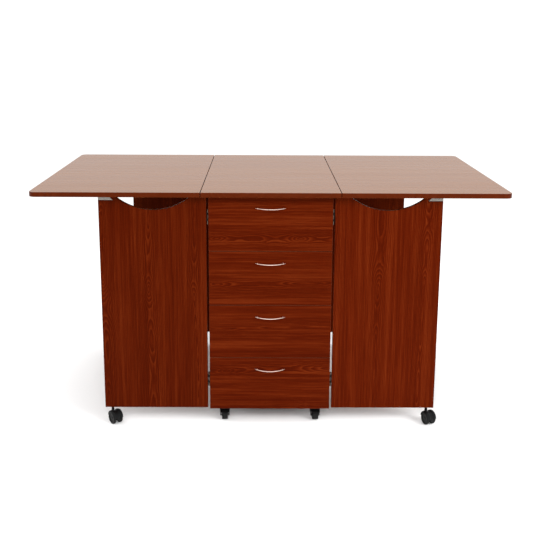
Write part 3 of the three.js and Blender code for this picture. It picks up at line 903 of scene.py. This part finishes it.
def add_casters():
    for corner in CORNERS:
        name = f"{corner}_caster"
        place = caster_place(f"{name}_swivel", f"{name}_roll")
        body = f"{name}_fork"
        add_turned(f"{name}_hood", twin_hood(), place, black_plastic, body, (body,))
        body = f"{name}_wheels"
        add_turned(f"{name}_wheel_pair", twin_wheels(), place, wheel_rubber, body, (body,))

        name = f"cabinet_{corner}_caster"
        place = caster_place(f"{name}_swivel", f"{name}_roll")
        body = f"{name}_fork"
        add_turned(f"{body}_frame", fork_frame(), place, black_plastic, body, (body,))
        add_turned(f"{name}_axle_bolt", fork_axle(), place, dark_steel_and_painted_shade, body, ())
        body = f"{name}_wheel"
        add_turned(f"{name}_tread_wheel", fork_wheel(), place, wheel_rubber, body, (body,))
        add_top_plate(f"{name}_plate", place)


# ---------------------------------------------------------------- stage, light and camera
FLOOR_HALF = 30.0
SKY_STRENGTH = 1.12
SOFTBOXES = {
    # name: place, what it points at, width, height, watts
    "front_softbox": ((-0.5, -4.4, 2.6), (0, -0.3, 0.5), 2.2, 1.6, 100),
    "front_right_softbox": ((3.5, -3.2, 2.8), (0, -0.3, 0.5), 2.2, 1.6, 155),
    "overhead_softbox": ((0, 0.2, 3.6), (0, 0, 0.9), 3.0, 2.0, 46),
    "low_softbox": ((0.1, -0.95, 0.06), (0, -0.46, 0.09), 1.8, 0.05, 0.8),
    "left_softbox": ((-3.4, 0.6, 1.1), (-0.5, 0.1, 0.0), 1.6, 1.2, 27),
    "right_softbox": ((3.4, 0.6, 1.1), (0.5, 0.1, 0.0), 1.6, 1.2, 14),
}
CAMERA_PLACE = (-0.0327, -3.6985, 1.4835)
CAMERA_TURN = math.radians(0.374)
CAMERA_DIP = math.radians(12.786)
CAMERA_ROLL = math.radians(0.283)
CAMERA_LENS_MM = 60.36
CAMERA_SENSOR_MM = 36
CAMERA_SHIFT = -0.0612


def add_stage():
    """A pale floor, and an even white surround."""
    bm = bmesh.new()
    corners = rectangle(-FLOOR_HALF, -FLOOR_HALF, FLOOR_HALF, FLOOR_HALF)
    bm.faces.new([bm.verts.new((x, y, 0)) for x, y in corners])
    mesh = bpy.data.meshes.new("floor")
    bm.to_mesh(mesh)
    bm.free()
    floor = bpy.data.objects.new("floor", mesh)
    bpy.context.scene.collection.objects.link(floor)
    material, nodes, _ = new_material("pale_floor")
    shader = nodes["Principled BSDF"]
    shader.inputs["Base Color"].default_value = (0.93, 0.93, 0.93, 1)
    shader.inputs["Roughness"].default_value = 0.7
    shader.inputs["Specular IOR Level"].default_value = 0.0
    mesh.materials.append(material)

    world = bpy.data.worlds.new("studio")
    world.use_nodes = True
    sky = world.node_tree.nodes["Background"]
    sky.inputs["Color"].default_value = (1, 1, 1, 1)
    sky.inputs["Strength"].default_value = SKY_STRENGTH
    bpy.context.scene.world = world


def add_softbox(name, at, target, width, height, power):
    """A rectangular light that is not seen in reflections."""
    light = bpy.data.lights.new(name, "AREA")
    light.shape = "RECTANGLE"
    light.size, light.size_y = width, height
    light.energy = power
    lamp = bpy.data.objects.new(name, light)
    lamp.location = at
    lamp.rotation_mode = "QUATERNION"
    lamp.rotation_quaternion = (Vector(target) - Vector(at)).to_track_quat("-Z", "Y")
    lamp.visible_glossy = False
    bpy.context.scene.collection.objects.link(lamp)


def add_camera():
    """A view from the front, a little left of the middle and somewhat from above."""
    level = Vector((math.sin(CAMERA_TURN), math.cos(CAMERA_TURN), 0))
    ahead = level * math.cos(CAMERA_DIP) - UP * math.sin(CAMERA_DIP)
    side = level.cross(UP)
    above = side.cross(ahead)
    right = side * math.cos(CAMERA_ROLL) + above * math.sin(CAMERA_ROLL)
    up = above * math.cos(CAMERA_ROLL) - side * math.sin(CAMERA_ROLL)
    data = bpy.data.cameras.new("camera")
    data.sensor_width = CAMERA_SENSOR_MM
    data.lens = CAMERA_LENS_MM
    data.shift_y = CAMERA_SHIFT
    data.clip_end = 200
    camera = bpy.data.objects.new("camera", data)
    camera.matrix_world = axes(Vector(CAMERA_PLACE), right, up, -ahead)
    bpy.context.scene.collection.objects.link(camera)
    bpy.context.scene.camera = camera


add_tops()
add_cabinet()
add_drawers()
add_legs()
add_leaf_hinges()
add_casters()
add_stage()
for light_name, settings in SOFTBOXES.items():
    add_softbox(light_name, *settings)
add_camera()
bpy.context.scene.view_settings.view_transform = "Standard"
